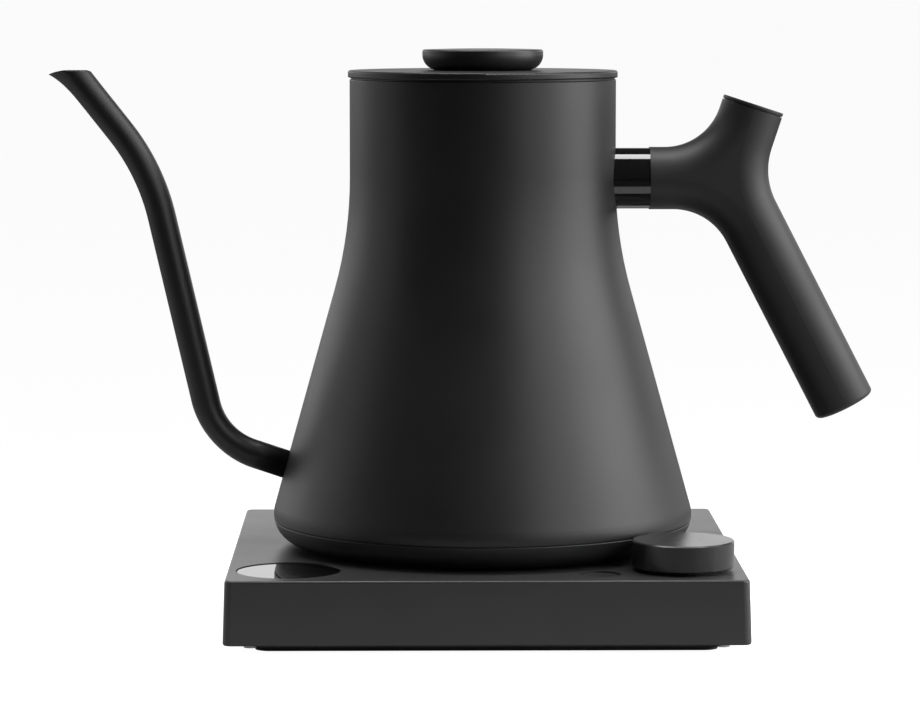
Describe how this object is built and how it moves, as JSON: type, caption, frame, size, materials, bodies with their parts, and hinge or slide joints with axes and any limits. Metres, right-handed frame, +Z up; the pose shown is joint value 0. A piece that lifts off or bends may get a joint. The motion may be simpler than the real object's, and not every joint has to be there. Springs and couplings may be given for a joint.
{
  "type": "electric kettle",
  "caption": "Matte black gooseneck electric kettle: conical pot with a Y-shaped handle and flat lid, on a square heating base with a round display, a dial and a preset button.",
  "frame": {"origin": "on the surface the base stands on, under the common vertical axis of the base and the pot", "axes": "+Z up; the spout points along -X and the handle along +X; the display and the dial are on the -Y side"},
  "size_m": [0.2884, 0.1763, 0.1991],
  "materials": {
    "pot_coating": "fine matte black powder coat",
    "base_coating": "fine matte black moulding",
    "grip_plastic": "satin moulded black",
    "knob_plastic": "satin moulded black",
    "plinth_plastic": "smooth moulded black",
    "collar_gloss": "mirror gloss black",
    "dial_metal": "bead-blasted dark anodised",
    "display_glass": "gloss black glass",
    "inner_steel": "brushed",
    "spreader_aluminium": "machined",
    "contact_brass": "satin",
    "screw_steel": "zinc plated",
    "black_rubber": "matt",
    "seal_silicone": "satin",
    "inner_plastic": "moulded black",
    "board_laminate": "green solder mask",
    "component_plastic": "moulded",
    "lead_insulation": "glass-sleeved",
    "ribbon_plastic": "smooth"
  },
  "bodies": {
    "base": {"base_shell": "base_coating", "bottom_cover": "plinth_plastic", "foot_ring": "black_rubber", "base_screws": "screw_steel", "board_screws": "screw_steel", "display_lens": "display_glass", "display_panel": "component_plastic", "display_holder": "inner_plastic", "control_board": "board_laminate", "control_chips": "component_plastic", "buzzer": "component_plastic", "preset_switch": "component_plastic", "encoder_body": "inner_plastic", "encoder_dome": "screw_steel", "power_socket": "plinth_plastic", "socket_contacts": "contact_brass", "power_board": "board_laminate", "power_relay": "component_plastic", "transformer": "component_plastic", "capacitors": "component_plastic", "mains_fuse": "component_plastic", "terminal_block": "component_plastic", "cord_inlet_bush": "black_rubber", "base_leads": "lead_insulation", "board_headers": "component_plastic", "ribbon_cable": "ribbon_plastic"},
    "preset_button": {"preset_button": "base_coating"},
    "dial_rotor": {"encoder_rotor": "component_plastic"},
    "dial": {"dial_shaft": "inner_steel", "dial_insert": "inner_plastic", "dial_knob": "dial_metal"},
    "kettle_connector": {"connector_housing": "plinth_plastic", "connector_blades": "contact_brass"},
    "kettle": {"kettle_body": "pot_coating", "spout": "pot_coating", "vessel_floor": "inner_steel", "heat_spreader": "spreader_aluminium", "heating_element": "inner_steel", "temperature_probe": "inner_steel", "thermal_cutouts": "component_plastic", "kettle_leads": "lead_insulation", "plinth": "plinth_plastic", "plinth_seal": "seal_silicone", "plinth_screws": "screw_steel", "plinth_studs": "inner_steel", "handle_collar": "collar_gloss", "handle_boss": "inner_steel", "handle_stud": "screw_steel", "handle_grip": "grip_plastic", "handle_end_cap": "grip_plastic", "handle_lock_screw": "screw_steel", "handle_counterweight": "inner_steel"},
    "lid": {"lid_disc": "pot_coating", "lid_knob": "knob_plastic", "lid_plug": "inner_plastic", "lid_seal": "seal_silicone", "lid_screw": "screw_steel"}
  },
  "joints": [
    {"name": "preset_press", "type": "slide", "parent": "base", "child": "preset_button", "axis": [0, 0, -1], "range_m": [0, 0.0005], "stiffness_N_per_m": 1500, "springref_m": -0.0005},
    {"name": "dial_turn", "type": "hinge", "parent": "base", "child": "dial_rotor", "pos_m": [0.0664, -0.0634, 0.025], "axis": [0, 0, 1], "continuous": true},
    {"name": "dial_press", "type": "slide", "parent": "dial_rotor", "child": "dial", "axis": [0, 0, -1], "range_m": [0, 0.0006], "stiffness_N_per_m": 2500, "springref_m": -0.0006},
    {"name": "kettle_lift", "type": "slide", "parent": "base", "child": "kettle_connector", "axis": [0, 0, 1], "range_m": [0, 0.12]},
    {"name": "kettle_swivel", "type": "hinge", "parent": "kettle_connector", "child": "kettle", "pos_m": [0, 0, 0.025], "axis": [0, 0, 1], "continuous": true},
    {"name": "lid_lift", "type": "slide", "parent": "kettle", "child": "lid", "axis": [0, 0, 1], "range_m": [0, 0.06]}
  ]
}
